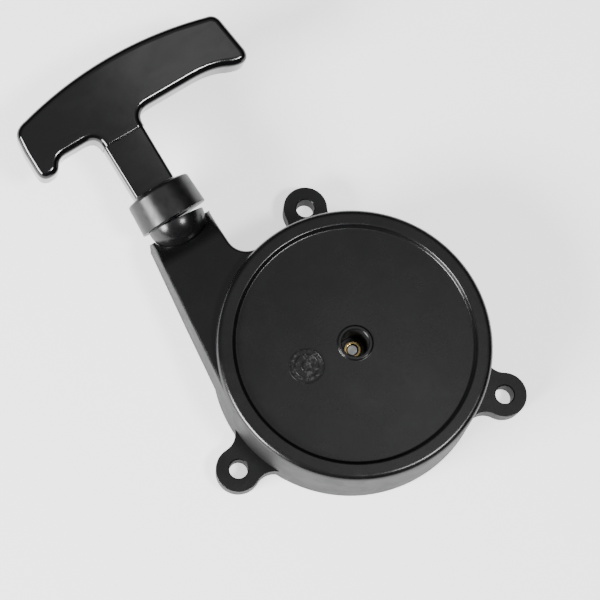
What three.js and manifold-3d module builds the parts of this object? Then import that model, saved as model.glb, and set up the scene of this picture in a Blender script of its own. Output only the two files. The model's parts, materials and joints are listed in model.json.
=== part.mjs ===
// Recoil starter of a small engine, in millimetres, +Z up through the closed face.
// The pieces are laid out about the crank axis, with z = 0 on the mounting plane and
// the rope leaving towards +Y. The last lines move the whole starter so that its origin
// is the middle of the bottom of its bounding box.

import * as THREE from 'three';
import { mergeVertices } from 'three/addons/utils/BufferGeometryUtils.js';
import Module from 'manifold-3d';

const wasm = await Module();
wasm.setup();

// ---- driving dimensions -------------------------------------------------------------

const GAP = 0.3; // play between pieces that touch
const WALL = 2.3;

// housing cup
const RIM_R = 48;
const SKIRT_R = 49.3;
const CUP_INNER_R = 45.8;
const PLATE_UNDER = 25.5;
const PLATE_TOP = 28;
const RING_TOP = 29.8;
const RING_INNER_R = 41.8;
const RING_SIDE_Z = 26.6;
const WELL_R = 4.7;
const WELL_LIP_R = 5.9;
const WELL_FLOOR = 17;
const MARK_X = -18.7;
const MARK_Y = 2.1;
const MARK_R = 6.2;
const MARK_RAISE = 0.35;

// mounting lugs
const LUG_COUNT = 3;
const LUG_FIRST_DEG = 73.5;
const LUG_CIRCLE_R = 57;
const LUG_R = 8;
const LUG_HOLE_R = 3.3;
const LUG_TOP = 8;
const LUG_FILLET = 7;
const LUG_ROOT_R = 48.6;

// rope arm of the housing, and the pull axis
const ROPE_X = -27.8;
const ROPE_Z = 10.1; // the rope's height on the pulley
const ROPE_R = 1.75;
const PULL_TILT = THREE.MathUtils.degToRad(11);
const ARM_TIP_Y = 71;
const ARM_LEFT_ROOT = [-48.2, 2.2];
const ARM_LEFT_TIP_X = -39.9;
const ARM_RIGHT_TIP_X = -15;
const ARM_RIGHT_X = -16.7;
const ARM_RIGHT_Y = 57;
const ARM_FILLET = 7.4;
const ARM_TOP_ROOT = [8, 26.6];
const ARM_TOP_FRONT = [58, 22.64];
const ARM_NOSE = [[62.5, 21.6], [67, 18.7]];
const ARM_EAR_Z = 14.5;
const ARM_BELLY_Y = 40;
const ARM_BELLY_RISE = 3;
const ARM_WALL_Y = 57;

// rope bush in the arm
const BUSH_R = 10.6;
const BUSH_BALL_Y = 72.96;
const BUSH_BALL_Z = 17.13;
const BUSH_BALL_V = BUSH_BALL_Y / Math.cos(PULL_TILT);
const BUSH_FACE_V = 74.1;
const BUSH_FACE_YAW_DEG = -3.5;
const BUSH_NECK_R = 3.8;
const BUSH_BORE_R = 2.3;
const BUSH_LIP_R = 4.7;

// handle
const COLLAR_V0 = 75.2;
const COLLAR_V1 = 87.7;
const COLLAR_R0 = 12.7;
const COLLAR_R1 = 12.15;
const SPIGOT_R = 4.8;
const STEM_V0 = 88;
const STEM_V1 = 112;
const STEM_LEFT = -8.8;
const STEM_RIGHT = 7;
const STEM_THICK = 10;
const NECK_V = 108.7;
const GRIP_THICK = 14;
const GRIP_ROUND = 2.4;
const GRIP_CROWN_R = 145;
const GRIP_CROWN_X = 10.5;
const GRIP_TOP_V = 136.15;
const KNOT_V = 124.5;
const KNOT_R = 4;
const KNOT_ROOM_R = 4.5;
const PLUG_LENGTH = 3.4;

// centre post
const POST_R = 7.5;
const POST_BOTTOM = 3.7;
const INSERT_R = 3;
const INSERT_Z0 = 8;
const INSERT_Z1 = 17.6;
const SCREW_R = 1.8;
const SCREW_TIP = 16.8;
const SCREW_HEAD_R = 4.4;
const SCREW_HEAD_Z = [0.1, 2.1];
const WASHER_R = 12;
const WASHER_Z = [2.4, 3.4];

// rope pulley and the wound rope
const PULLEY_R = 34;
const PULLEY_BOTTOM = 5.2;
const GROOVE_Z = [6.6, 13.6];
const PULLEY_TOP = 15;
const HUB_R = 11;
const HUB_TOP = 24.2;
const HUB_BORE_R = POST_R + GAP;
const FRICTION_BOSS_R = 9.9;
const CORE_R = 15.3;
const COIL_R = 25.7;
const COIL_LAYERS = 3;
const ROPE_WRAP_DEG = 100;

// rewind spring and its case
const CASE_R = 34.6;
const CASE_WALL = 1.6;
const CASE_Z0 = 15.5;
const CASE_FLOOR = 1.2;
const CASE_Z1 = 24.2;
const CASE_HOLE_R = 12;
const CASE_EAR_DEG = [20, 200];
const CASE_EAR_CIRCLE_R = 40;
const CASE_EAR_R = 3.6;
const CASE_EAR_THICK = 2.4;
const LID_Z = [24.5, 25.2];
const SPRING_TURNS = 5;
const SPRING_THICK = 0.8;
const SPRING_R = [12.2, 31.9];
const SPRING_Z = [17.1, 23.9];
const CASE_SCREW_R = 1.35;
const CASE_SCREW_HEAD_R = 2.9;

// pawls and friction plate
const PAWL_PIVOT_R = 20;
const PAWL_PIN_R = 2;
const PAWL_Z = [1.1, 3.6];
const PAWL_HUB_R = 4.2;
const PAWL_TIP = [2.5, -13.5];
const PAWL_PEG_OUT = 5.5;
const PAWL_PEG_R = 1;
const PLATE_Z = [3.9, 4.9];
const PLATE_RING_R = 15.5;
const PLATE_LOBE_R = 28.3;
const PLATE_LOBE_DEG = 20;
const PLATE_SWING_DEG = 6;
const CLIP_Z = [0.2, 0.8];
const CLIP_R = 3.8;

const ROUND_LARGE = 64;
const ROUND_MEDIUM = 36;
const ROUND_SMALL = 20;

// ---- materials ----------------------------------------------------------------------

function plain(colour, roughness, metalness = 0) {
  return new THREE.MeshStandardMaterial({ color: colour, roughness, metalness });
}

const materials = {
  housing: plain(0x1a1b1c, 0.42),
  grip: plain(0x151617, 0.25),
  rubber: plain(0x1d1d1e, 0.6),
  bush: plain(0x202122, 0.5),
  rope: plain(0x24201f, 0.9),
  pulley: plain(0x2a2b2c, 0.5),
  spring_case: plain(0x303133, 0.55),
  steel: plain(0x9a9c9e, 0.35, 1),
  spring_steel: plain(0x5f666d, 0.35, 1),
  brass: plain(0xb08d4a, 0.35, 1),
};

// ---- shape helpers ------------------------------------------------------------------

function rad(degrees) {
  return THREE.MathUtils.degToRad(degrees);
}

function polar(radius, degrees) {
  return [radius * Math.cos(rad(degrees)), radius * Math.sin(rad(degrees))];
}

// A closed manifold solid of a three.js geometry, with its faces pointing out.
function solid(geometry) {
  const bare = geometry.index ? geometry.toNonIndexed() : geometry.clone();
  bare.deleteAttribute('normal');
  bare.deleteAttribute('uv');
  const merged = mergeVertices(bare, 1e-4);
  const position = merged.attributes.position.array;
  const index = merged.index.array;
  const corner = (i) => new THREE.Vector3(...position.slice(3 * i, 3 * i + 3));
  const triangles = [];
  let volume = 0;
  for (let i = 0; i < index.length; i += 3) {
    const [a, b, c] = index.slice(i, i + 3);
    if (a === b || b === c || c === a) continue;
    triangles.push([a, b, c]);
    volume += corner(a).dot(corner(b).cross(corner(c)));
  }
  const wound = volume < 0 ? triangles.map(([a, b, c]) => [a, c, b]) : triangles;
  const triVerts = new Uint32Array(wound.flat());
  return new wasm.Manifold(new wasm.Mesh({ numProp: 3, vertProperties: position, triVerts }));
}

function joined(first, ...others) {
  return others.reduce((whole, piece) => whole.add(piece), first);
}

function without(body, ...tools) {
  return tools.reduce((rest, tool) => rest.subtract(tool), body);
}

// A named mesh of a solid, added to a parent group.
function addMesh(parent, name, body, material) {
  const { vertProperties, triVerts } = body.getMesh();
  const geometry = new THREE.BufferGeometry();
  geometry.setAttribute('position', new THREE.BufferAttribute(vertProperties, 3));
  geometry.setIndex(new THREE.BufferAttribute(triVerts, 1));
  geometry.computeVertexNormals();
  const mesh = new THREE.Mesh(geometry, material);
  mesh.name = name;
  parent.add(mesh);
  return mesh;
}

// A profile of [radius, height] points turned about +Z. It ends on the axis or closes.
function turned(profile, segments = ROUND_MEDIUM) {
  const points = profile.map(([r, z]) => new THREE.Vector2(r, z));
  if (profile[0][0] > 0) points.push(points[0].clone());
  return solid(new THREE.LatheGeometry(points, segments).rotateX(Math.PI / 2));
}

// The same about +Y, for the pieces on the pull axis.
function turnedAlong(profile, segments = ROUND_MEDIUM) {
  const points = profile.map(([r, v]) => new THREE.Vector2(r, v));
  if (profile[0][0] > 0) points.push(points[0].clone());
  return solid(new THREE.LatheGeometry(points, segments));
}

function disc(radius, z0, z1, x = 0, y = 0, segments = ROUND_SMALL) {
  const geometry = new THREE.CylinderGeometry(radius, radius, z1 - z0, segments);
  return solid(geometry.rotateX(Math.PI / 2).translate(x, y, (z0 + z1) / 2));
}

function ring(inner, outer, z0, z1, segments = ROUND_MEDIUM) {
  return turned([[inner, z0], [outer, z0], [outer, z1], [inner, z1]], segments);
}

function block(x0, x1, y0, y1, z0, z1) {
  const geometry = new THREE.BoxGeometry(x1 - x0, y1 - y0, z1 - z0);
  return solid(geometry.translate((x0 + x1) / 2, (y0 + y1) / 2, (z0 + z1) / 2));
}

// A flat outline raised from z0 to z1, with its edges rounded off inside the outline.
function raised(shape, z0, z1, round = 0, curveSegments = 6) {
  const geometry = new THREE.ExtrudeGeometry(shape, {
    depth: z1 - z0 - 2 * round,
    bevelEnabled: round > 0,
    bevelThickness: round,
    bevelSize: round,
    bevelOffset: -round,
    bevelSegments: 3,
    curveSegments,
  });
  return solid(geometry.translate(0, 0, z0 + round));
}

function polygon(points) {
  return new THREE.Shape(points.map(([x, y]) => new THREE.Vector2(x, y)));
}

// A side profile of [y, z] points, run from x0 to x1.
function sideProfile(points, x0, x1) {
  const geometry = new THREE.ExtrudeGeometry(polygon(points), {
    depth: x1 - x0,
    bevelEnabled: false,
  });
  const turn = new THREE.Matrix4().set(0, 0, 1, x0, 1, 0, 0, 0, 0, 1, 0, 0, 0, 0, 0, 1);
  return solid(geometry.applyMatrix4(turn));
}

// Points of a quarter turn or any arc, in [x, y] pairs.
function arc(cx, cy, radius, startDeg, endDeg, steps) {
  return Array.from({ length: steps + 1 }, (_, i) => {
    const [dx, dy] = polar(radius, startDeg + ((endDeg - startDeg) * i) / steps);
    return [cx + dx, cy + dy];
  });
}

// A cross recess as a screwdriver leaves it, cut upwards into a head from z0.
function crossRecess(reach, z0, depth, x, y) {
  const half = reach / 4;
  return joined(
    block(x - reach, x + reach, y - half, y + half, z0 - 1, z0 + depth),
    block(x - half, x + half, y - reach, y + reach, z0 - 1, z0 + depth),
  );
}

// ---- placing ------------------------------------------------------------------------

const starter = new THREE.Group();

// The pull axis: +Y of this group runs along the rope, out of the arm.
const pullAxis = new THREE.Group();
pullAxis.position.set(ROPE_X, 0, BUSH_BALL_Z - BUSH_BALL_Y * Math.tan(PULL_TILT));
pullAxis.rotation.x = PULL_TILT;
pullAxis.updateMatrix();
starter.add(pullAxis);

function onPullAxis(body) {
  return body.transform(pullAxis.matrix.toArray());
}

// ---- housing ------------------------------------------------------------------------

function cupOutside() {
  const crest = arc(RIM_R - 2.3, RING_TOP - 2.3, 2.3, 10, 90, 5);
  return turned([
    [0, 0],
    [SKIRT_R, 0],
    [RIM_R, RING_SIDE_Z],
    ...crest,
    [RING_INNER_R + 0.5, RING_TOP],
    [RING_INNER_R, RING_TOP - 0.4],
    [RING_INNER_R - 0.2, PLATE_TOP],
    [WELL_LIP_R + 0.4, PLATE_TOP],
    [WELL_LIP_R, PLATE_TOP + 0.5],
    [0, PLATE_TOP + 0.5],
  ], ROUND_LARGE);
}

function armOutline() {
  const filletX = ARM_RIGHT_X + ARM_FILLET;
  const filletY = Math.sqrt((LUG_ROOT_R + ARM_FILLET) ** 2 - filletX ** 2);
  const touch = THREE.MathUtils.radToDeg(Math.atan2(-filletY, -filletX)) + 360;
  return polygon([
    ARM_LEFT_ROOT,
    [ARM_LEFT_TIP_X, ARM_TIP_Y],
    [ARM_RIGHT_TIP_X, ARM_TIP_Y],
    [ARM_RIGHT_X + 0.4, ARM_RIGHT_Y + 5],
    ...arc(filletX, filletY, ARM_FILLET, 180, touch, 6),
    [0, 36],
    [-36, 0],
  ]);
}

function armOutside() {
  const plan = raised(armOutline(), -1, RING_TOP);
  const side = sideProfile([
    [-10, 0],
    [ARM_BELLY_Y, 0],
    [ARM_TIP_Y, ARM_BELLY_RISE],
    [ARM_TIP_Y, ARM_EAR_Z],
    ...ARM_NOSE.toReversed(),
    ARM_TOP_FRONT,
    ARM_TOP_ROOT,
    [-10, ARM_TOP_ROOT[1]],
  ], -60, 10);
  return plan.intersect(side);
}

function armInside() {
  const lean = (ARM_LEFT_TIP_X - ARM_LEFT_ROOT[0]) / (ARM_TIP_Y - ARM_LEFT_ROOT[1]);
  const leftAt = (y) => ARM_LEFT_ROOT[0] + WALL + lean * (y - ARM_LEFT_ROOT[1]);
  const plan = raised(polygon([
    [leftAt(2), 2],
    [leftAt(ARM_WALL_Y), ARM_WALL_Y],
    [ARM_RIGHT_X - WALL, ARM_WALL_Y],
    [ARM_RIGHT_X - WALL, 40],
    [-30, 10],
  ]), -2, RING_TOP);
  const drop = (ARM_TOP_ROOT[1] - ARM_TOP_FRONT[1]) / (ARM_TOP_FRONT[0] - ARM_TOP_ROOT[0]);
  const roofAt = (y) => ARM_TOP_ROOT[1] - WALL - drop * (y - ARM_TOP_ROOT[0]);
  const side = sideProfile([
    [-5, -2],
    [ARM_WALL_Y, -2],
    [ARM_WALL_Y, roofAt(ARM_WALL_Y)],
    [-5, roofAt(-5)],
  ], -60, 10);
  return plan.intersect(side);
}

// Outline of a lug that runs into the skirt with a concave fillet on each side.
function lugOutline() {
  const reach = LUG_ROOT_R + LUG_FILLET;
  const cosine = (reach ** 2 + LUG_CIRCLE_R ** 2 - (LUG_R + LUG_FILLET) ** 2)
    / (2 * reach * LUG_CIRCLE_R);
  const spread = THREE.MathUtils.radToDeg(Math.acos(cosine));
  const [fx, fy] = polar(reach, spread);
  const toLug = THREE.MathUtils.radToDeg(Math.atan2(-fy, LUG_CIRCLE_R - fx));
  const lower = arc(fx, -fy, LUG_FILLET, 180 - spread, -toLug, 4);
  const upper = lower.map(([x, y]) => [x, -y]).reverse();
  const nose = arc(LUG_CIRCLE_R, 0, LUG_R, -toLug - 180, toLug + 180, 14);
  return polygon([[LUG_ROOT_R - 2, lower[0][1]], ...lower, ...nose.slice(1, -1), ...upper,
    [LUG_ROOT_R - 2, -lower[0][1]]]);
}

function lug(degrees) {
  const body = raised(lugOutline(), 0, LUG_TOP);
  const hole = disc(LUG_HOLE_R, -1, LUG_TOP + 1, LUG_CIRCLE_R, 0, 24);
  return { body: body.rotate([0, 0, degrees]), hole: hole.rotate([0, 0, degrees]) };
}

function bushSeat() {
  const seatR = BUSH_R + 0.4;
  const ball = arc(0, BUSH_BALL_V, seatR, -90, 0, 7).map(([r, v]) => [Math.max(r, 0), v]);
  const seat = turnedAlong([...ball, [seatR, 90], [0, 90]]);
  const neck = turnedAlong([
    [0, ARM_WALL_Y - 4],
    [BUSH_NECK_R + GAP, ARM_WALL_Y - 4],
    [BUSH_NECK_R + GAP, BUSH_BALL_V],
    [0, BUSH_BALL_V],
  ], ROUND_SMALL + 4);
  return onPullAxis(seat.add(neck));
}

function centrePostCut() {
  return joined(
    disc(WELL_R, WELL_FLOOR, RING_TOP, 0, 0, 32),
    disc(INSERT_R + GAP, INSERT_Z0, WELL_FLOOR + 1, 0, 0, 24),
    disc(SCREW_R + 0.4, 0, INSERT_Z0 + 1, 0, 0, 16),
  );
}

function roundMark() {
  return joined(
    ring(MARK_R - 0.5, MARK_R, PLATE_TOP - 0.5, PLATE_TOP + MARK_RAISE, 32),
    ring(1.4, 1.9, PLATE_TOP - 0.5, PLATE_TOP + MARK_RAISE, ROUND_SMALL),
  ).translate([MARK_X, MARK_Y, 0]);
}

function caseBoss(degrees) {
  const [x, y] = polar(CASE_EAR_CIRCLE_R, degrees);
  const bottom = CASE_Z0 + CASE_EAR_THICK + GAP;
  const post = disc(CASE_EAR_R, bottom, PLATE_UNDER + 0.5, x, y, ROUND_SMALL);
  return without(post, disc(CASE_SCREW_R + GAP, bottom - 1, PLATE_UNDER - 1, x, y, 12));
}

function housing() {
  const lugs = Array.from({ length: LUG_COUNT }, (_, i) => (
    lug(LUG_FIRST_DEG + (360 / LUG_COUNT) * i)
  ));
  const shell = joined(cupOutside(), armOutside(), ...lugs.map((piece) => piece.body));
  const cavity = ring(POST_R, CUP_INNER_R, -1, PLATE_UNDER, ROUND_LARGE);
  const post = disc(POST_R + 1, -1, POST_BOTTOM);
  const hollow = without(shell, cavity, post, armInside(), bushSeat(),
    ...lugs.map((piece) => piece.hole));
  const filled = joined(hollow, roundMark(), ...CASE_EAR_DEG.map(caseBoss));
  return without(filled, centrePostCut());
}

// ---- handle and rope ----------------------------------------------------------------

// The bush has swung a little in its cradle, so its face is turned against the collar.
function bush() {
  const ball = arc(0, BUSH_BALL_V, BUSH_R, -68.8, 0, 7);
  const lip = ARM_WALL_Y - 0.4;
  const blank = turnedAlong([
    [BUSH_BORE_R + 0.7, lip - 2.6],
    [BUSH_LIP_R - 1, lip - 2.6],
    [BUSH_LIP_R, lip - 0.8],
    [BUSH_LIP_R, lip],
    [BUSH_NECK_R, lip],
    ...ball,
    [BUSH_R, BUSH_FACE_V + 2],
    [BUSH_BORE_R + 2, BUSH_FACE_V + 2],
    [BUSH_BORE_R, BUSH_FACE_V - 2],
    [BUSH_BORE_R, lip - 1.6],
  ], ROUND_MEDIUM);
  const front = block(-20, 20, 0, 10, -20, 20).rotate([0, 0, BUSH_FACE_YAW_DEG]);
  return without(blank, front.translate([0, BUSH_FACE_V, 0]));
}

function collar() {
  return turnedAlong([
    [SPIGOT_R + GAP, COLLAR_V0 + 0.3],
    [SPIGOT_R + 0.8, COLLAR_V0],
    [COLLAR_R0 - 0.4, COLLAR_V0],
    [COLLAR_R0, COLLAR_V0 + 0.4],
    [COLLAR_R1, COLLAR_V1 - 1.6],
    [COLLAR_R1 - 0.3, COLLAR_V1 - 1],
    [COLLAR_R1 - 0.9, COLLAR_V1 - 0.7],
    [COLLAR_R1 - 3.8, COLLAR_V1],
    [SPIGOT_R + GAP, COLLAR_V1],
  ], 40);
}

// Outline of the T bar, seen from above: a finger stop at each end, a crowned back and
// a short neck, which runs on below the step that ends it.
function gripOutline() {
  const crown = arc(GRIP_CROWN_X, GRIP_TOP_V - GRIP_CROWN_R, GRIP_CROWN_R, 75.63, 105.4, 10);
  const shape = new THREE.Shape();
  shape.moveTo(-34, 113.2);
  shape.quadraticCurveTo(-34, 109.2, -30.4, 109.1);
  shape.quadraticCurveTo(-27.4, 109, -26.1, 111);
  shape.quadraticCurveTo(-24.8, 113.4, -22.2, 113.45);
  shape.lineTo(-13.8, 113.6);
  shape.quadraticCurveTo(-9.3, 113.6, -9.2, 109.5);
  shape.lineTo(-9.2, NECK_V - 6);
  shape.lineTo(7.3, NECK_V - 6);
  shape.lineTo(7.3, 109.8);
  shape.quadraticCurveTo(7.6, 114.2, 12.6, 114.25);
  shape.lineTo(30.5, 114.4);
  shape.quadraticCurveTo(38.5, 114.5, 43.4, 112.3);
  shape.quadraticCurveTo(46.4, 110.8, 49, 110.5);
  shape.quadraticCurveTo(53, 110.3, 52.8, 114.6);
  shape.lineTo(50.9, 127.2);
  shape.quadraticCurveTo(50.4, 131, crown[0][0], crown[0][1]);
  for (const [x, y] of crown.slice(1)) shape.lineTo(x, y);
  shape.quadraticCurveTo(-32.8, 130, -33.5, 126.6);
  shape.lineTo(-34, 121);
  return shape;
}

function grip() {
  const half = GRIP_THICK / 2;
  const whole = raised(gripOutline(), -half, half, GRIP_ROUND, 4);
  const bar = without(whole, block(-13, 11, NECK_V - 10, NECK_V, -half - 1, half + 1));
  const stem = raised(polygon([
    [STEM_LEFT, STEM_V0],
    [STEM_RIGHT, STEM_V0],
    [STEM_RIGHT, STEM_V1],
    [STEM_LEFT, STEM_V1],
  ]), -STEM_THICK / 2, STEM_THICK / 2, 1.3);
  const spigot = turnedAlong([
    [0, COLLAR_V0 + 0.8],
    [SPIGOT_R - 0.5, COLLAR_V0 + 0.8],
    [SPIGOT_R, COLLAR_V0 + 1.4],
    [SPIGOT_R, STEM_V0 + 2],
    [0, STEM_V0 + 2],
  ], 24);
  const bore = turnedAlong([
    [0, 70],
    [ROPE_R + 0.4, 70],
    [ROPE_R + 0.4, KNOT_V],
    [0, KNOT_V],
  ], 16);
  const room = turnedAlong([
    [0, KNOT_V - KNOT_R - GAP],
    [KNOT_ROOM_R, KNOT_V - KNOT_R - GAP],
    [KNOT_ROOM_R, 140],
    [0, 140],
  ], ROUND_SMALL);
  return without(joined(bar, stem, spigot), bore, room);
}

function gripKnot() {
  const half = arc(0, KNOT_V, KNOT_R, -90, 90, 8).map(([r, v]) => [Math.max(r, 0), v]);
  const knot = turnedAlong(half, 16);
  const rope = turnedAlong([
    [0, 70],
    [ROPE_R + GAP, 70],
    [ROPE_R + GAP, KNOT_V - KNOT_R + 1.2],
    [0, KNOT_V - KNOT_R + 1.2],
  ], 10);
  return without(knot, rope);
}

function gripPlug() {
  const outer = GRIP_TOP_V - 1.2;
  return turnedAlong([
    [0, outer - PLUG_LENGTH],
    [KNOT_ROOM_R - GAP, outer - PLUG_LENGTH],
    [KNOT_ROOM_R - GAP, outer],
    [0, outer + 0.4],
  ], ROUND_SMALL);
}

// The rope that moves with the handle: from behind the arm's front wall to the knot.
function ropeLead() {
  return turnedAlong([
    [0, ARM_WALL_Y - 1],
    [ROPE_R, ARM_WALL_Y - 1],
    [ROPE_R, KNOT_V - KNOT_R + 0.8],
    [0, KNOT_V - KNOT_R + 0.8],
  ], 10);
}

// The rope inside the housing: part of its last turn on the pulley, then the straight
// run through the arm.
function ropeRun() {
  const path = new THREE.CurvePath();
  const wound = arc(0, 0, -ROPE_X, 180 + ROPE_WRAP_DEG, 180, 12)
    .map(([x, y]) => new THREE.Vector3(x, y, ROPE_Z));
  const end = new THREE.Vector3(0, ARM_WALL_Y - 1.4, 0).applyMatrix4(pullAxis.matrix);
  path.add(new THREE.CatmullRomCurve3(wound));
  path.add(new THREE.LineCurve3(wound.at(-1), end));
  const section = new THREE.Shape().absarc(0, 0, ROPE_R, 0, 2 * Math.PI);
  return solid(new THREE.ExtrudeGeometry(section, {
    extrudePath: path,
    steps: 18,
    curveSegments: 5,
  }));
}

// ---- pulley, rope coil and spring ---------------------------------------------------

function pulleyKnotPlace() {
  return polar((HUB_BORE_R + CORE_R) / 2 + 0.4, 90);
}

function pulley() {
  const wheel = turned([
    [HUB_BORE_R, POST_BOTTOM],
    [FRICTION_BOSS_R, POST_BOTTOM],
    [FRICTION_BOSS_R, PULLEY_BOTTOM],
    [PULLEY_R, PULLEY_BOTTOM],
    [PULLEY_R, PULLEY_BOTTOM + 0.8],
    [PULLEY_R - 1.2, GROOVE_Z[0]],
    [CORE_R, GROOVE_Z[0]],
    [CORE_R, GROOVE_Z[1]],
    [PULLEY_R - 1.2, GROOVE_Z[1]],
    [PULLEY_R, PULLEY_TOP - 0.8],
    [PULLEY_R, PULLEY_TOP],
    [HUB_R, PULLEY_TOP],
    [HUB_R, HUB_TOP],
    [HUB_BORE_R, HUB_TOP],
  ], 48);
  const pins = [PAWL_PIVOT_R, -PAWL_PIVOT_R].map((x) => (
    disc(PAWL_PIN_R, CLIP_Z[0] - 0.1, PULLEY_BOTTOM + 0.5, x, 0, 16)
  ));
  const [x, y] = pulleyKnotPlace();
  const pocket = disc(3, POST_BOTTOM - 1, GROOVE_Z[1] - 0.6, x, y, ROUND_SMALL);
  return without(joined(wheel, ...pins), pocket);
}

// The wound rope as one ring, with a bulge for each layer's outermost turns.
function coil() {
  const inner = CORE_R + GAP;
  const z0 = GROOVE_Z[0] + GAP;
  const z1 = GROOVE_Z[1] - GAP;
  const middle = (z0 + z1) / 2;
  const bulge = (COIL_R - inner) / COIL_LAYERS / 2;
  return turned([
    [inner, z0],
    [COIL_R - bulge, z0],
    [COIL_R, z0 + bulge],
    [COIL_R - 0.7, middle],
    [COIL_R, z1 - bulge],
    [COIL_R - bulge, z1],
    [inner, z1],
  ], 40);
}

function pulleyKnot() {
  const [x, y] = pulleyKnotPlace();
  const ball = new THREE.SphereGeometry(2.6, 12, 8).rotateX(Math.PI / 2);
  return solid(ball.translate(x, y, (GROOVE_Z[0] + GROOVE_Z[1]) / 2));
}

function springCase() {
  const inner = CASE_R - CASE_WALL;
  const cup = turned([
    [CASE_HOLE_R, CASE_Z0],
    [CASE_R, CASE_Z0],
    [CASE_R, CASE_Z1],
    [inner, CASE_Z1],
    [inner, CASE_Z0 + CASE_FLOOR],
    [CASE_HOLE_R, CASE_Z0 + CASE_FLOOR],
  ], 48);
  const top = CASE_Z0 + CASE_EAR_THICK;
  const ears = CASE_EAR_DEG.map((degrees) => {
    const bar = block(inner + 0.4, CASE_EAR_CIRCLE_R, -CASE_EAR_R, CASE_EAR_R, CASE_Z0, top);
    const end = disc(CASE_EAR_R, CASE_Z0, top, CASE_EAR_CIRCLE_R, 0, ROUND_SMALL);
    return bar.add(end).rotate([0, 0, degrees]);
  });
  const holes = CASE_EAR_DEG.map((degrees) => {
    const [x, y] = polar(CASE_EAR_CIRCLE_R, degrees);
    return disc(CASE_SCREW_R + GAP, CASE_Z0 - 1, top + 1, x, y, 12);
  });
  return without(joined(cup, ...ears), ...holes);
}

// The spring strip in plan: one spiral out and the same spiral back, a strip apart.
function rewindSpring() {
  const steps = SPRING_TURNS * 22;
  const side = (offset) => Array.from({ length: steps + 1 }, (_, i) => {
    const radius = SPRING_R[0] + ((SPRING_R[1] - SPRING_R[0]) * i) / steps;
    return polar(radius + offset, (360 * SPRING_TURNS * i) / steps);
  });
  const outline = [...side(SPRING_THICK / 2), ...side(-SPRING_THICK / 2).reverse()];
  return raised(polygon(outline), SPRING_Z[0], SPRING_Z[1]);
}

function caseScrew(degrees) {
  const [x, y] = polar(CASE_EAR_CIRCLE_R, degrees);
  const head = disc(CASE_SCREW_HEAD_R, CASE_Z0 - 2.3, CASE_Z0 - GAP, x, y, 18);
  const shank = disc(CASE_SCREW_R, CASE_Z0 - 1, PLATE_UNDER - 1.6, x, y, 12);
  return without(head.add(shank), crossRecess(1.5, CASE_Z0 - 2.3, 1.1, x, y));
}

function postInsert() {
  return ring(SCREW_R + GAP, INSERT_R, INSERT_Z0 + GAP, INSERT_Z1, 24);
}

function postScrew() {
  const head = turned([
    [0, SCREW_HEAD_Z[0]],
    [SCREW_HEAD_R - 1.1, SCREW_HEAD_Z[0]],
    [SCREW_HEAD_R, SCREW_HEAD_Z[0] + 0.9],
    [SCREW_HEAD_R, SCREW_HEAD_Z[1]],
    [0, SCREW_HEAD_Z[1]],
  ], 24);
  const shank = disc(SCREW_R, SCREW_HEAD_Z[1] - 0.5, SCREW_TIP, 0, 0, 16);
  return without(head.add(shank), crossRecess(2.2, SCREW_HEAD_Z[0], 1.4, 0, 0));
}

// ---- pawls and friction plate -------------------------------------------------------

// A pawl about its own pivot: hub, peg lobe and a nose that leads the pull's rotation.
function pawl() {
  const [tipX, tipY] = PAWL_TIP;
  const body = raised(polygon([
    ...arc(0, 0, PAWL_HUB_R, 35, 195, 8),
    [-1.6, -8],
    [tipX - 1.9, tipY],
    [tipX + 0.2, tipY - 0.4],
    [tipX + 1.2, tipY + 2.4],
    [PAWL_HUB_R, -1.5],
  ]), PAWL_Z[0], PAWL_Z[1]);
  const lobe = disc(2.1, PAWL_Z[0], PAWL_Z[1], PAWL_PEG_OUT, 0, 16);
  const peg = disc(PAWL_PEG_R, PAWL_Z[1] - 0.5, PLATE_Z[1] - 0.2, PAWL_PEG_OUT, 0, 12);
  const hole = disc(PAWL_PIN_R + GAP, 0, 6, 0, 0, 16);
  return without(joined(body, lobe, peg), hole);
}

// The friction plate: a ring on the pulley's boss, and two lobes with a slot for the
// pawl's pivot and a notch that takes the pawl's peg.
function frictionPlate() {
  const half = PLATE_LOBE_DEG / 2;
  const outline = polygon([0, 180].flatMap((middle) => [
    ...arc(0, 0, PLATE_LOBE_R, middle - half - 3, middle + half, 5),
    ...arc(0, 0, PLATE_RING_R, middle + half + 14, middle + 180 - half - 17, 12),
  ]));
  const blank = raised(outline, PLATE_Z[0], PLATE_Z[1]);
  const cuts = [0, 180].flatMap((middle) => {
    const pinSlot = [0, 0.5, 1].map((part) => {
      const [x, y] = polar(PAWL_PIVOT_R, -PLATE_SWING_DEG * part);
      return disc(PAWL_PIN_R + 0.4, 3, 6, x, y, 16);
    });
    const reach = PAWL_PIVOT_R + PAWL_PEG_OUT;
    const slotHalf = PAWL_PEG_R + 0.35;
    const notch = block(reach - 1.9, PLATE_LOBE_R + 1, -slotHalf, slotHalf, 3, 6);
    return [...pinSlot, notch].map((tool) => tool.rotate([0, 0, middle]));
  });
  const bore = disc(FRICTION_BOSS_R + GAP, 3, 6, 0, 0, 40);
  return without(blank, bore, ...cuts);
}

// ---- assembly -----------------------------------------------------------------------

addMesh(starter, 'housing', housing(), materials.housing);
addMesh(pullAxis, 'rope_bush', bush(), materials.bush);

addMesh(pullAxis, 'handle_collar', collar(), materials.rubber);
addMesh(pullAxis, 'handle_grip', grip(), materials.grip);
addMesh(pullAxis, 'handle_plug', gripPlug(), materials.grip);
addMesh(pullAxis, 'handle_knot', gripKnot(), materials.rope);
addMesh(pullAxis, 'rope_lead', ropeLead(), materials.rope);
addMesh(starter, 'rope_run', ropeRun(), materials.rope);

addMesh(starter, 'rope_pulley', pulley(), materials.pulley);
addMesh(starter, 'rope_coil', coil(), materials.rope);
addMesh(starter, 'pulley_knot', pulleyKnot(), materials.rope);

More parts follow.
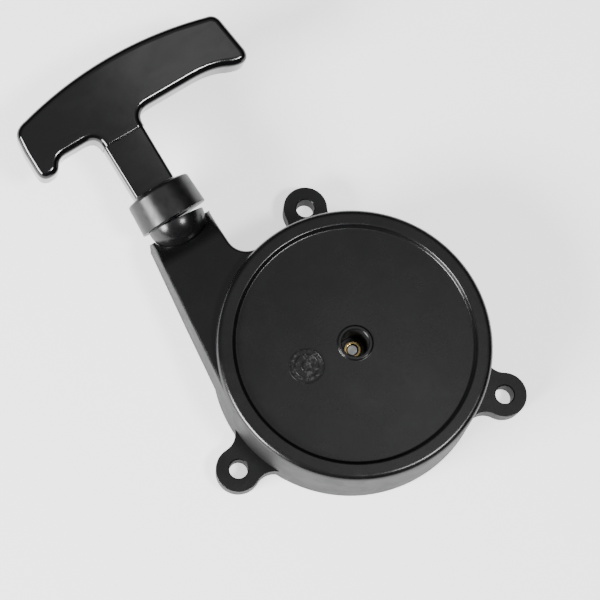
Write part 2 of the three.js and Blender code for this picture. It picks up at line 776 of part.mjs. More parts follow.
addMesh(starter, 'spring_case', springCase(), materials.spring_case);
addMesh(starter, 'spring_case_lid', ring(POST_R + 0.7, CASE_R, ...LID_Z), materials.steel);
addMesh(starter, 'rewind_spring', rewindSpring(), materials.spring_steel);
CASE_EAR_DEG.forEach((degrees, i) => {
  addMesh(starter, `case_screw_${i + 1}`, caseScrew(degrees), materials.steel);
});

addMesh(starter, 'post_insert', postInsert(), materials.brass);
addMesh(starter, 'post_screw', postScrew(), materials.steel);
addMesh(starter, 'retainer_washer', ring(SCREW_R + 0.4, WASHER_R, ...WASHER_Z), materials.steel);

addMesh(starter, 'friction_plate', frictionPlate(), materials.steel);
[0, 180].forEach((degrees, i) => {
  const seat = new THREE.Group();
  seat.rotation.z = rad(degrees);
  starter.add(seat);
  const piece = addMesh(seat, `pawl_${i + 1}`, pawl(), materials.steel);
  piece.position.x = PAWL_PIVOT_R;
  const clip = ring(PAWL_PIN_R + GAP, CLIP_R, CLIP_Z[0], CLIP_Z[1], 16);
  const clipPiece = addMesh(seat, `pawl_clip_${i + 1}`, clip, materials.spring_steel);
  clipPiece.position.x = PAWL_PIVOT_R;
});

const bounds = new THREE.Box3().setFromObject(starter, true);
const middle = bounds.getCenter(new THREE.Vector3());
starter.position.set(-middle.x, -middle.y, -bounds.min.z);

export default starter;
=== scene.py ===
"""The looks of a small engine's recoil starter, laid out as an add-on and run as a script.

Shapes are modelled in millimetres about the crank axis, or about the rope's pull axis,
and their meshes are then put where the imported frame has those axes.
"""

import json
import math

import bmesh
import bpy
from bpy.props import (
    FloatProperty,
    FloatVectorProperty,
    IntProperty,
    PointerProperty,
)
from mathutils import Matrix, Vector


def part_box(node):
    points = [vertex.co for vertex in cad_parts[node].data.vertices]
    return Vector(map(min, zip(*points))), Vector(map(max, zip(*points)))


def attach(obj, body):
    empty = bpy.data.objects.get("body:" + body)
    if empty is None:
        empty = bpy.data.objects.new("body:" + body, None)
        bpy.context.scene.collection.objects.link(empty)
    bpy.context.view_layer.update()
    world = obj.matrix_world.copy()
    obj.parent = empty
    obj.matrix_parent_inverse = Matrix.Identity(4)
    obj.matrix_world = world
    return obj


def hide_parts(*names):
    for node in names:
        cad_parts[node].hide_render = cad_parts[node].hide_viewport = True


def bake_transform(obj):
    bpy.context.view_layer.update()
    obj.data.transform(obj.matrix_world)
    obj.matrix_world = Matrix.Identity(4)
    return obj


bl_info = {
    "name": "Recoil starter",
    "version": (1, 0, 0),
    "blender": (4, 5, 0),
    "location": "3D View > Sidebar > Starter",
    "description": "Builds the visible pieces of a recoil starter round its packed frame",
    "category": "Object",
}

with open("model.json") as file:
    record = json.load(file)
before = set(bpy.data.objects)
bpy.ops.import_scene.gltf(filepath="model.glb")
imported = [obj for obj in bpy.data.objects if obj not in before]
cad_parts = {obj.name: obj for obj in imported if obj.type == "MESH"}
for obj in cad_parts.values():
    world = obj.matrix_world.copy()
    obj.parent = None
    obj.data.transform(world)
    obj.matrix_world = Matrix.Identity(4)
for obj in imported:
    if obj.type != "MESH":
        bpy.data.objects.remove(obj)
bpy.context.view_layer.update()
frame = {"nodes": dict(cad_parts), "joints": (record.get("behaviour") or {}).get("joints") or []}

MM = 0.001

# ---- the two working frames ---------------------------------------------------------


def crank_frame():
    """Millimetres about the crank axis, z = 0 on the mounting plane, to the row frame."""
    low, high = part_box("rope_pulley")
    centre = (low + high) / 2
    return Matrix.Translation((centre.x, centre.y, 0)) @ Matrix.Scale(MM, 4)


def pull_frame():
    """Millimetres along the pull axis (+Y), from the crank's plane, to the row frame."""
    joint = next(j for j in frame["joints"] if j["name"] == "handle_twist")
    along = Vector(joint["axis"]).normalized()
    point = Vector(joint["pos_m"])
    crank_y = crank_frame().translation.y
    origin = point - along * ((point.y - crank_y) / along.y)
    across = Vector((1, 0, 0))
    turn = Matrix((across, along, across.cross(along))).transposed().to_4x4()
    return Matrix.Translation(origin) @ turn @ Matrix.Scale(MM, 4)


CRANK = crank_frame()
PULL = pull_frame()
PULL_IN_CRANK = CRANK.inverted() @ PULL
PULL_TRAVEL = next(j for j in frame["joints"] if j["name"] == "handle_pull")["range_m"][1]

# ---- sizes and colours a user would change ------------------------------------------


def length(name, description, default):
    return FloatProperty(
        name=name, description=description, default=default, unit="LENGTH", precision=4
    )


def colour(name, description, default):
    return FloatVectorProperty(
        name=name, description=description, default=default, subtype="COLOR", size=3
    )


class HousingSizes(bpy.types.PropertyGroup):
    rim_radius: length("Rim radius", "Outer radius of the cup under its ring", 0.048)
    skirt_radius: length("Skirt radius", "Outer radius at the mounting plane", 0.0493)
    cup_radius: length("Cup radius", "Inner radius of the cup", 0.0458)
    plate_under: length("Plate underside", "Height of the plate's inner face", 0.0255)
    plate_top: length("Plate top", "Height of the recessed plate", 0.028)
    ring_top: length("Ring top", "Height of the raised ring", 0.0298)
    ring_inner: length("Ring inner radius", "Inner radius of the raised ring", 0.0418)
    well_radius: length("Well radius", "Radius of the centre well", 0.0047)
    well_floor: length("Well floor", "Height of the well's floor", 0.017)
    post_radius: length("Post radius", "Radius of the centre post", 0.0075)
    post_bottom: length("Post end", "Height of the post's free end", 0.0037)
    lug_circle: length("Lug circle", "Radius of the circle of lug holes", 0.057)
    lug_radius: length("Lug radius", "Outer radius of a lug", 0.008)
    lug_hole: length("Lug hole", "Radius of a lug's hole", 0.0033)
    lug_height: length("Lug height", "Height of a lug", 0.008)
    lug_fillet: length("Lug fillet", "Radius where a lug meets the skirt", 0.007)
    lug_count: IntProperty(name="Lugs", description="Number of lugs", default=3, min=1)
    lug_angle: FloatProperty(
        name="First lug",
        description="Angle of the first lug about the crank axis",
        default=math.radians(73.5),
        subtype="ANGLE",
    )
    arm_tip: length("Arm tip", "Distance of the arm's tip from the crank plane", 0.071)
    arm_fillet: length("Arm fillet", "Radius where the arm meets the rim", 0.0074)
    wall: length("Wall", "Thickness of the arm's walls", 0.0023)
    edge: length("Lug rounding", "Rounding of the lugs' top edges", 0.0008)
    arm_edge: length("Arm rounding", "Rounding of the arm's top edges", 0.0013)


class HandleSizes(bpy.types.PropertyGroup):
    bush_radius: length("Bush radius", "Radius of the guide bush's ball", 0.0106)
    bush_centre: length("Bush centre", "Centre of the bush's ball along the pull", 0.07433)
    bush_face: length("Bush face", "Front face of the bush along the pull", 0.0741)
    bush_yaw: FloatProperty(
        name="Bush swing",
        description="How far the bush has swung sideways in its cradle",
        default=math.radians(-3.5),
        subtype="ANGLE",
    )
    collar_start: length("Collar start", "Rear face of the collar", 0.0752)
    collar_end: length("Collar end", "Front face of the collar", 0.0877)
    collar_radius: length("Collar radius", "Radius of the collar at its rear", 0.0127)
    collar_front: length("Collar front radius", "Radius before the shoulder", 0.01215)
    spigot_radius: length("Spigot radius", "Radius of the handle's spigot", 0.0048)
    stem_start: length("Stem start", "Where the flat stem begins", 0.088)
    stem_left: length("Stem left", "Left side of the stem from the rope", 0.0088)
    stem_right: length("Stem right", "Right side of the stem from the rope", 0.007)
    stem_thick: length("Stem thickness", "Thickness of the stem", 0.01)
    stem_round: length("Stem rounding", "Rounding of the stem's edges", 0.0015)
    grip_thick: length("Grip thickness", "Thickness of the T bar", 0.01396)
    neck_start: length("Neck start", "Where the T bar's neck steps up from the stem", 0.1087)
    grip_top: length("Grip top", "Crown of the T bar along the pull", 0.13605)
    top_round: length("Top rounding", "Rounding of the T bar's upper edges", 0.0026)
    under_round: length("Under rounding", "Rounding of the T bar's lower edges", 0.002)


class RopeSizes(bpy.types.PropertyGroup):
    radius: length("Rope radius", "Radius of the rope", 0.00175)
    wound_radius: length("Wound radius", "Rope's outermost turn on the pulley", 0.0278)
    height: length("Rope height", "Height of the rope on the pulley", 0.0101)
    knot_place: length("Knot", "Handle's knot along the pull", 0.1245)
    knot_radius: length("Knot radius", "Radius of the handle's knot", 0.004)
    strands: IntProperty(name="Strands", description="Strands round the braid", default=8)


class FinishColours(bpy.types.PropertyGroup):
    housing: colour("Housing", "Black moulded plastic", (0.0042, 0.0042, 0.0045))
    grip: colour("Grip", "Glossy black plastic", (0.003, 0.003, 0.0033))
    rubber: colour("Collar", "Black rubber", (0.0045, 0.0044, 0.0046))
    bush: colour("Bush", "Black nylon", (0.005, 0.005, 0.0054))
    rope: colour("Rope", "Dark yarn", (0.011, 0.0095, 0.009))
    tracer: colour("Tracer", "Red tracer yarn", (0.2, 0.008, 0.008))
    pulley: colour("Pulley", "Dark grey nylon", (0.02, 0.0205, 0.022))
    case: colour("Spring case", "Grey plastic", (0.03, 0.0305, 0.033))
    steel: colour("Steel", "Zinc-plated steel", (0.56, 0.57, 0.58))
    spring: colour("Spring steel", "Blued spring steel", (0.17, 0.19, 0.23))
    brass: colour("Brass", "Turned brass", (0.5, 0.37, 0.17))
    floor: colour("Floor", "Pale table", (0.86, 0.86, 0.87))


# ---- shape helpers ------------------------------------------------------------------


def arc(cx, cy, radius, start, end, steps):
    """Points of an arc from start to end degrees."""
    turns = [math.radians(start + (end - start) * i / steps) for i in range(steps + 1)]
    return [(cx + radius * math.cos(a), cy + radius * math.sin(a)) for a in turns]


def curve_points(start, control, end, steps):
    """Points of a quadratic curve, without its first point."""
    a, b, c = Vector(start), Vector(control), Vector(end)
    ts = [i / steps for i in range(1, steps + 1)]
    return [tuple(a.lerp(b, t).lerp(b.lerp(c, t), t)) for t in ts]


def prism(points, low, high):
    """An outline raised from low to high."""
    bm = bmesh.new()
    base = bm.faces.new([bm.verts.new((x, y, low)) for x, y in points])
    raised = bmesh.ops.extrude_face_region(bm, geom=[base])["geom"]
    top = [g for g in raised if isinstance(g, bmesh.types.BMVert)]
    bmesh.ops.translate(bm, verts=top, vec=(0, 0, high - low))
    bmesh.ops.recalc_face_normals(bm, faces=bm.faces)
    return bm


def side_prism(points, x0, x1):
    """A side profile of (y, z) points, run from x0 to x1."""
    bm = prism(points, x0, x1)
    turn = Matrix(((0, 0, 1), (1, 0, 0), (0, 1, 0))).to_4x4()
    bmesh.ops.transform(bm, matrix=turn, verts=bm.verts)
    return bm


def spun(profile, steps, closed=False, along_y=False):
    """A profile of (radius, height) points turned about Z, or about Y."""
    bm = bmesh.new()
    verts = [bm.verts.new((r, 0, z)) for r, z in profile]
    edges = [bm.edges.new(pair) for pair in zip(verts, verts[1:])]
    if closed:
        edges.append(bm.edges.new((verts[-1], verts[0])))
    bmesh.ops.spin(
        bm,
        geom=verts + edges,
        cent=(0, 0, 0),
        axis=(0, 0, 1),
        dvec=(0, 0, 0),
        angle=2 * math.pi,
        steps=steps,
        use_merge=True,
        use_duplicate=False,
    )
    bmesh.ops.remove_doubles(bm, verts=bm.verts, dist=1e-4)
    bmesh.ops.recalc_face_normals(bm, faces=bm.faces)
    if along_y:
        bmesh.ops.transform(bm, matrix=Matrix.Rotation(-math.pi / 2, 4, "X"), verts=bm.verts)
    return bm


def drum(radius, low, high, x=0, y=0, steps=48):
    """A cylinder along Z."""
    bm = spun([(0, low), (radius, low), (radius, high), (0, high)], steps)
    bmesh.ops.translate(bm, verts=bm.verts, vec=(x, y, 0))
    return bm


def turned_about_z(bm, degrees):
    """Turns a shape about the vertical axis."""
    turn = Matrix.Rotation(math.radians(degrees), 4, "Z")
    bmesh.ops.transform(bm, matrix=turn, verts=bm.verts)
    return bm


def moved(bm, matrix):
    """Puts a shape where a matrix says."""
    bmesh.ops.transform(bm, matrix=matrix, verts=bm.verts)
    return bm


def round_edges(bm, width, segments, least, picked=lambda edge: True, clamp=True):
    """Bevels the convex edges sharper than least degrees that picked says."""
    limit = math.radians(least)
    edges = [
        e
        for e in bm.edges
        if len(e.link_faces) == 2
        and e.calc_face_angle(0) > limit
        and e.is_convex
        and picked(e)
    ]
    bmesh.ops.bevel(
        bm,
        geom=edges,
        offset=width,
        offset_type="OFFSET",
        segments=segments,
        profile=0.5,
        affect="EDGES",
        material=-1,
        clamp_overlap=clamp,
    )
    return bm


def scratch(name, bm):
    """A temporary object that holds a shape while it is cut or joined."""
    mesh = bpy.data.meshes.new(name)
    bm.to_mesh(mesh)
    bm.free()
    thing = bpy.data.objects.new(name, mesh)
    bpy.context.scene.collection.objects.link(thing)
    return thing


def combine(body, tools, operation):
    """Joins tools to a shape, or cuts them from it, and gives the new shape."""
    target = scratch("combine_target", body)
    for tool in tools:
        other = scratch("combine_tool", tool)
        step = target.modifiers.new("combine", "BOOLEAN")
        step.operation = operation
        step.solver = "EXACT"
        step.object = other
        evaluated = target.evaluated_get(bpy.context.evaluated_depsgraph_get())
        made = bpy.data.meshes.new_from_object(evaluated)
        target.modifiers.clear()
        target.data = made
        bpy.data.objects.remove(other)
    result = bmesh.new()
    result.from_mesh(target.data)
    bpy.data.objects.remove(target)
    bmesh.ops.remove_doubles(result, verts=result.verts, dist=2e-3)
    return result


def joined(body, *tools):
    return combine(body, tools, "UNION")


def cut(body, *tools):
    return combine(body, tools, "DIFFERENCE")


def common(body, *tools):
    return combine(body, tools, "INTERSECT")


def tidy_flats(bm, degrees=0.6):
    """Merges faces that lie in one plane."""
    bmesh.ops.dissolve_limit(
        bm,
        angle_limit=math.radians(degrees),
        use_dissolve_boundaries=False,
        verts=bm.verts,
        edges=bm.edges,
        delimit=set(),
    )
    return bm


def finished(name, bm, placed, body, slot, nodes, crease=32, weighted=True):
    """Makes a piece of a shape: placed, shaded, in its slot's finish, on its body."""
    moved(bm, placed)
    mesh = bpy.data.meshes.new(name)
    bm.to_mesh(mesh)
    bm.free()
    mesh.polygons.foreach_set("use_smooth", [True] * len(mesh.polygons))
    mesh.set_sharp_from_angle(angle=math.radians(crease))
    piece = bpy.data.objects.new(name, mesh)
    bpy.context.scene.collection.objects.link(piece)
    mesh.materials.append(MATERIALS[slot])
    if weighted:
        step = piece.modifiers.new("even_shading", "WEIGHTED_NORMAL")
        step.keep_sharp = True
        step.weight = 80
    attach(piece, body)
    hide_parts(*nodes)
    return piece


# ---- material helpers ---------------------------------------------------------------


class Finish:
    """A material under construction: its shader, its nodes and their links."""

    def __init__(self, name, base, roughness, metallic=0.0, **sockets):
        self.material = bpy.data.materials.new(name)
        self.material.use_nodes = True
        self.tree = self.material.node_tree
        self.shader = self.tree.nodes["Principled BSDF"]
        self.shader.inputs["Base Color"].default_value = (*base, 1)
        self.shader.inputs["Roughness"].default_value = roughness
        self.shader.inputs["Metallic"].default_value = metallic
        for socket, value in sockets.items():
            self.shader.inputs[socket.replace("_", " ")].default_value = value
        coordinates = self.tree.nodes.new("ShaderNodeTexCoord")
        self.place = coordinates.outputs["Object"]
        self.uv = coordinates.outputs["UV"]

    def node(self, kind, **settings):
        made = self.tree.nodes.new("ShaderNode" + kind)
        for key, value in settings.items():
            setattr(made, key, value)
        return made

    def link(self, source, target):
        self.tree.links.new(source, target)

    def mapped(self, source, location=(0, 0, 0), rotation=(0, 0, 0), scale=(1, 1, 1)):
        made = self.node("Mapping")
        made.inputs["Location"].default_value = location
        made.inputs["Rotation"].default_value = rotation
        made.inputs["Scale"].default_value = scale
        self.link(source, made.inputs["Vector"])
        return made.outputs["Vector"]

    def noise(self, scale, detail=4.0, rough=0.55, source=None, distortion=0.0):
        made = self.node("TexNoise")
        made.inputs["Scale"].default_value = scale
        made.inputs["Detail"].default_value = detail
        made.inputs["Roughness"].default_value = rough
        made.inputs["Distortion"].default_value = distortion
        self.link(source or self.place, made.inputs["Vector"])
        return made.outputs["Fac"]

    def between(self, source, low, high, out_low, out_high):
        """Maps low..high of a value to out_low..out_high, clamped."""
        made = self.node("MapRange", interpolation_type="SMOOTHSTEP")
        for socket, value in zip(("From Min", "From Max"), (low, high)):
            made.inputs[socket].default_value = value
        for socket, value in zip(("To Min", "To Max"), (out_low, out_high)):
            made.inputs[socket].default_value = value
        self.link(source, made.inputs["Value"])
        return made.outputs["Result"]

    def math(self, operation, first, second):
        made = self.node("Math", operation=operation)
        for socket, value in zip(made.inputs, (first, second)):
            if isinstance(value, (int, float)):
                socket.default_value = value
            else:
                self.link(value, socket)
        return made.outputs["Value"]

    def mix(self, factor, first, second):
        """A colour between first and second, which are colours or sockets."""
        made = self.node("Mix", data_type="RGBA")
        self.link(factor, made.inputs["Factor"])
        for socket, value in ((made.inputs[6], first), (made.inputs[7], second)):
            if isinstance(value, tuple):
                socket.default_value = (*value, 1)
            else:
                self.link(value, socket)
        return made.outputs[2]

    def colour(self, source):
        self.link(source, self.shader.inputs["Base Color"])

    def roughness(self, source):
        self.link(source, self.shader.inputs["Roughness"])

    def bump(self, *layers):
        """Stacks height maps, each with its depth in metres."""
        normal = None
        for height, depth in layers:
            made = self.node("Bump")
            made.inputs["Strength"].default_value = 1.0
            made.inputs["Distance"].default_value = depth
            self.link(height, made.inputs["Height"])
            if normal:
                self.link(normal, made.inputs["Normal"])
            normal = made.outputs["Normal"]
        self.link(normal, self.shader.inputs["Normal"])


def shade(base, factor):
    """A colour made darker or lighter."""
    return tuple(min(1.0, c * factor) for c in base)


def moulded_black(name, base, smooth, rough, grain=9000, grain_depth=5e-6, worn=None):
    """Injection-moulded plastic: smooth flats, textured sides, fine grain and dust.

    worn is the centre of a stamped spot whose relief has been rubbed grey, in metres.
    """
    finish = Finish(name, base, smooth, Specular_IOR_Level=0.42)
    tone = finish.between(finish.noise(38, 5, 0.6), 0.35, 0.68, 0, 1)
    body = finish.mix(tone, shade(base, 0.85), shade(base, 1.2))
    dust = finish.between(finish.noise(1400, 2, 0.5), 0.67, 0.78, 0, 0.35)
    body = finish.mix(dust, body, shade(base, 3.0))
    if worn:
        offset = finish.node("VectorMath", operation="DISTANCE")
        finish.link(finish.place, offset.inputs[0])
        offset.inputs[1].default_value = worn
        near = finish.between(offset.outputs["Value"], 0.0048, 0.0068, 1, 0)
        rubbed = finish.between(finish.noise(700, 4, 0.7), 0.5, 0.62, 0, 0.6)
        body = finish.mix(finish.math("MULTIPLY", near, rubbed), body, (0.05, 0.05, 0.052))
    finish.colour(body)
    facing = finish.node("NewGeometry")
    split = finish.node("SeparateXYZ")
    finish.link(facing.outputs["Normal"], split.inputs["Vector"])
    upright = finish.between(finish.math("ABSOLUTE", split.outputs["Z"], 0), 0.15, 0.45, 1, 0)
    smear = finish.between(finish.noise(110, 6, 0.62, distortion=0.6), 0.3, 0.7, -0.04, 0.05)
    sides = finish.math("ADD", smooth, finish.math("MULTIPLY", upright, rough - smooth))
    finish.roughness(finish.math("ADD", smear, sides))
    finish.bump((finish.noise(grain, 2, 0.5), grain_depth), (finish.noise(230, 3, 0.5), 2e-5))
    return finish.material


def glossy_black(name, base):
    """Polished black plastic with a slight orange peel and wiping marks."""
    finish = Finish(name, base, 0.12, Specular_IOR_Level=0.5)
    wipe = finish.noise(60, 6, 0.65, finish.mapped(finish.place, scale=(1, 2.6, 1)), 0.8)
    finish.roughness(finish.between(wipe, 0.3, 0.75, 0.1, 0.16))
    tone = finish.between(finish.noise(45, 4), 0.35, 0.65, 0, 1)
    finish.colour(finish.mix(tone, shade(base, 0.9), shade(base, 1.25)))
    finish.bump((finish.noise(150, 2, 0.45), 1.5e-5), (finish.noise(5200, 2), 1e-6))
    return finish.material


def black_rubber(name, base):
    """Soft black rubber with a faint bloom."""
    finish = Finish(name, base, 0.5, Specular_IOR_Level=0.4)
    bloom = finish.between(finish.noise(85, 5, 0.6), 0.4, 0.7, 0, 1)
    finish.colour(finish.mix(bloom, shade(base, 0.9), shade(base, 1.5)))
    finish.roughness(finish.between(finish.noise(300, 4), 0.3, 0.7, 0.3, 0.4))
    finish.bump((finish.noise(2600, 3, 0.6), 6e-6), (finish.noise(160, 3), 3e-5))
    return finish.material


def braided_rope(name, yarn, tracer, strands):
    """Braided cord in its own UVs: u round the rope, v along it in rope diameters."""
    finish = Finish(name, yarn, 0.75, Specular_IOR_Level=0.3, Sheen_Weight=0.25)
    split = finish.node("SeparateXYZ")
    finish.link(finish.uv, split.inputs["Vector"])
    around = finish.math("MULTIPLY", split.outputs["X"], strands / 2)
    along = finish.math("MULTIPLY", split.outputs["Y"], 0.9)

    def yarns(direction):
        lean = finish.math("ADD", around, finish.math("MULTIPLY", along, direction))
        centred = finish.math("SUBTRACT", finish.math("FRACT", lean, 0), 0.5)
        square = finish.math("MULTIPLY", centred, centred)
        return lean, finish.math("SUBTRACT", 1, finish.math("MULTIPLY", square, 4))

    left_lean, left_crown = yarns(1)
    right_crown = yarns(-1)[1]
    over = finish.math("PINGPONG", finish.math("ADD", around, along), 1)
    left_high = finish.math("MULTIPLY", left_crown, finish.between(over, 0.3, 0.7, 0.35, 1))
    right_high = finish.math("MULTIPLY", right_crown, finish.between(over, 0.3, 0.7, 1, 0.35))
    height = finish.math("MAXIMUM", left_high, right_high)
    left_wins = finish.math("GREATER_THAN", left_high, right_high)
    which = finish.math("MODULO", finish.math("FLOOR", left_lean, 0), strands / 2)
    is_tracer = finish.math("COMPARE", which, 0)
    red = finish.math("MULTIPLY", is_tracer, left_wins)
    fibres = finish.noise(900, 3, 0.6)
    body = finish.mix(finish.between(fibres, 0.3, 0.7, 0, 1), shade(yarn, 0.7), shade(yarn, 1.8))
    finish.colour(finish.mix(red, body, tracer))
    finish.bump((height, 2.4e-4), (fibres, 5e-5))
    return finish.material


def brushed_metal(name, base, roughness, centre, lines=2600):
    """Turned or rolled metal: fine rings about centre and a few darker marks."""
    finish = Finish(name, base, roughness, 1.0)
    local = finish.mapped(finish.place, location=[-c for c in centre])
    rings = finish.node("TexWave", wave_type="RINGS", rings_direction="Z")
    rings.inputs["Scale"].default_value = lines
    rings.inputs["Distortion"].default_value = 3.0
    rings.inputs["Detail"].default_value = 3.0
    finish.link(local, rings.inputs["Vector"])
    stain = finish.noise(160, 5, 0.6)
    finish.colour(
        finish.mix(finish.between(stain, 0.35, 0.72, 0, 1), shade(base, 0.78), shade(base, 1.08))
    )
    finish.roughness(
        finish.between(finish.noise(420, 4, 0.6), 0.3, 0.7, roughness * 0.8, roughness * 1.3)
    )
    finish.bump((rings.outputs["Fac"], 3e-6), (finish.noise(3000, 2), 4e-6))
    return finish.material


def pale_floor(name, base):
    """A white table, lit from below as well so that no shadow darkens it."""
    finish = Finish(name, base, 0.6, Specular_IOR_Level=0.2)
    finish.shader.inputs["Emission Color"].default_value = (1, 1, 1, 1)
    finish.shader.inputs["Emission Strength"].default_value = FLOOR_GLOW
    return finish.material


MATERIALS = {}


def make_materials(colours, strands):
    """Every finish of the starter, by material slot."""
    crank = CRANK.translation
    mark = tuple(CRANK @ Vector((*MARK_PLACE, MARK_HEIGHT)))
    MATERIALS.update(
        housing=moulded_black("moulded_housing", tuple(colours.housing), 0.24, 0.62, worn=mark),
        grip=glossy_black("glossy_grip", tuple(colours.grip)),
        rubber=black_rubber("collar_rubber", tuple(colours.rubber)),
        bush=moulded_black("nylon_bush", tuple(colours.bush), 0.25, 0.4, 5200, 4e-6),
        rope=braided_rope("braided_rope", tuple(colours.rope), tuple(colours.tracer), strands),
        pulley=moulded_black("nylon_pulley", tuple(colours.pulley), 0.42, 0.55, 4200, 8e-6),
        spring_case=moulded_black("case_plastic", tuple(colours.case), 0.45, 0.6, 4800, 8e-6),
        steel=brushed_metal("zinc_steel", tuple(colours.steel), 0.32, crank),
        spring_steel=brushed_metal("spring_steel", tuple(colours.spring), 0.28, crank, 900),
        brass=brushed_metal("turned_brass", tuple(colours.brass), 0.24, crank, 5200),
    )


# ---- housing ------------------------------------------------------------------------

ARM_LEFT_ROOT = (-48.2, 2.2)
ARM_LEFT_TIP_X = -39.9
ARM_RIGHT_TIP_X = -15.0
ARM_RIGHT_X = -16.7
ARM_WALL_Y = 57.0
ARM_TOP_ROOT = (8.0, 26.6)
ARM_TOP_FRONT = (58.0, 22.64)
ARM_NOSE = (64.5, 22.1)
ARM_NOSE_END = (71.0, 14.5)
ARM_BELLY = (40.0, 3.0)
LUG_ROOT = 48.6
MARK_PLACE = (-18.7, 2.1)
MARK_HEIGHT = 28.2
CASE_EAR_DEGREES = (20, 200)
CASE_EAR_CIRCLE = 40.0


def cup_outside(s):
    """The cup and its raised ring, as one turned shape."""
    plate, top = s.plate_top / MM, s.ring_top / MM
    inner, rim, skirt = s.ring_inner / MM, s.rim_radius / MM, s.skirt_radius / MM
    profile = [
        (0, 0),
        (skirt - 0.3, 0),
        (skirt, 0.3),
        *arc(rim - 2.3, top - 2.3, 2.3, 2, 90, 12),
        *arc(inner + 1.0, top - 0.9, 0.9, 90, 170, 7),
        *arc(inner - 0.8, plate + 0.8, 0.8, 0, -90, 6),
        *arc(6.5, plate + 0.4, 0.4, -90, -160, 3),
        *arc(5.75, plate + 0.3, 0.25, 20, 90, 3),
        (0, plate + 0.55),
    ]
    return spun(profile, 192)


def arm_outline(s):
    """The arm seen from above, with a fillet where it meets the rim."""
    fillet = s.arm_fillet / MM
    fx = ARM_RIGHT_X + fillet
    fy = math.sqrt((LUG_ROOT + fillet) ** 2 - fx**2)
    touch = math.degrees(math.atan2(-fy, -fx)) + 360
    tip = s.arm_tip / MM
    return [
        (0, 36),
        (-36, 0),
        ARM_LEFT_ROOT,
        (ARM_LEFT_TIP_X, tip),
        (ARM_RIGHT_TIP_X, tip),
        *curve_points((ARM_RIGHT_TIP_X, tip), (ARM_RIGHT_X, tip - 6), (ARM_RIGHT_X, 58), 8),
        *arc(fx, fy, fillet, 180, touch, 16),
    ]


def arm_outside(s):
    """The arm's body, sloping to the tip, with its upper edges rounded."""
    plan = prism(arm_outline(s), -1, 30)
    tip = s.arm_tip / MM
    side = side_prism(
        [
            (-10, 0),
            (ARM_BELLY[0], 0),
            (tip, ARM_BELLY[1]),
            ARM_NOSE_END,
            *reversed(curve_points(ARM_TOP_FRONT, ARM_NOSE, ARM_NOSE_END, 14)[:-1]),
            ARM_TOP_FRONT,
            ARM_TOP_ROOT,
            (-10, ARM_TOP_ROOT[1]),
        ],
        -60,
        10,
    )
    arm = tidy_flats(common(plan, side))

    def upper(edge):
        a, b = (v.co for v in edge.verts)
        outside = min(a.xy.length, b.xy.length) > 45
        return outside and min(a.z, b.z) > 13

    return round_edges(arm, s.arm_edge / MM, 5, 25, upper, clamp=False)


def arm_inside(s):
    """The room inside the arm for the rope."""
    wall = s.wall / MM
    tip = s.arm_tip / MM
    lean = (ARM_LEFT_TIP_X - ARM_LEFT_ROOT[0]) / (tip - ARM_LEFT_ROOT[1])

    def left_at(y):
        return ARM_LEFT_ROOT[0] + wall + lean * (y - ARM_LEFT_ROOT[1])

    drop = (ARM_TOP_ROOT[1] - ARM_TOP_FRONT[1]) / (ARM_TOP_FRONT[0] - ARM_TOP_ROOT[0])

    def roof_at(y):
        return ARM_TOP_ROOT[1] - wall - drop * (y - ARM_TOP_ROOT[0])

    right = ARM_RIGHT_X - wall
    plan = prism(
        [
            (left_at(2), 2),
            (left_at(ARM_WALL_Y), ARM_WALL_Y),
            (right, ARM_WALL_Y),
            (right, 40),
            (-30, 10),
        ],
        -2,
        30,
    )
    side = side_prism(
        [(-5, -2), (ARM_WALL_Y, -2), (ARM_WALL_Y, roof_at(ARM_WALL_Y)), (-5, roof_at(-5))],
        -60,
        10,
    )
    return round_edges(tidy_flats(common(plan, side)), 1.0, 3, 30)


def lug_shape(s):
    """A lug with concave fillets into the skirt and rounded upper edges."""
    circle, radius = s.lug_circle / MM, s.lug_radius / MM
    fillet = s.lug_fillet / MM
    reach = LUG_ROOT + fillet
    cosine = (reach**2 + circle**2 - (radius + fillet) ** 2) / (2 * reach * circle)
    spread = math.degrees(math.acos(cosine))
    fx, fy = arc(0, 0, reach, spread, spread, 1)[0]
    to_lug = math.degrees(math.atan2(-fy, circle - fx))
    lower = arc(fx, -fy, fillet, 180 - spread, -to_lug, 12)
    upper = [(x, -y) for x, y in reversed(lower)]
    nose = arc(circle, 0, radius, -to_lug - 180, to_lug + 180, 40)
    root = LUG_ROOT - 2
    outline = [(root, lower[0][1]), *lower, *nose[1:-1], *upper, (root, -lower[0][1])]
    lug = prism(outline, 0, s.lug_height / MM)

    def outer(edge):
        a, b = (v.co for v in edge.verts)
        return min(a.xy.length, b.xy.length) > root + 1 and abs(a.z - b.z) < 0.01

    return round_edges(lug, s.edge / MM, 3, 60, outer)


def lug_hole(s):
    """The tool for a lug's hole, flared a little at both ends."""
    radius, height = s.lug_hole / MM, s.lug_height / MM
    profile = [
        (0, -1),
        (radius + 0.3, -1),
        (radius + 0.3, 0),
        (radius, 0.3),
        (radius, height - 0.35),
        (radius + 0.35, height),
        (radius + 0.35, height + 1),
        (0, height + 1),
    ]
    bm = spun(profile, 64)
    bmesh.ops.translate(bm, verts=bm.verts, vec=(s.lug_circle / MM, 0, 0))
    return bm


def cup_inside(s):
    """The room inside the cup, around the centre post."""
    post, cup, roof = s.post_radius / MM, s.cup_radius / MM, s.plate_under / MM
    profile = [
        (post, -1),
        (cup, -1),
        (cup, roof - 1.2),
        *arc(cup - 1.2, roof - 1.2, 1.2, 0, 90, 5),
        *arc(post + 1, roof - 1, 1, 90, 180, 5),
    ]
    return spun(profile, 160, closed=True)


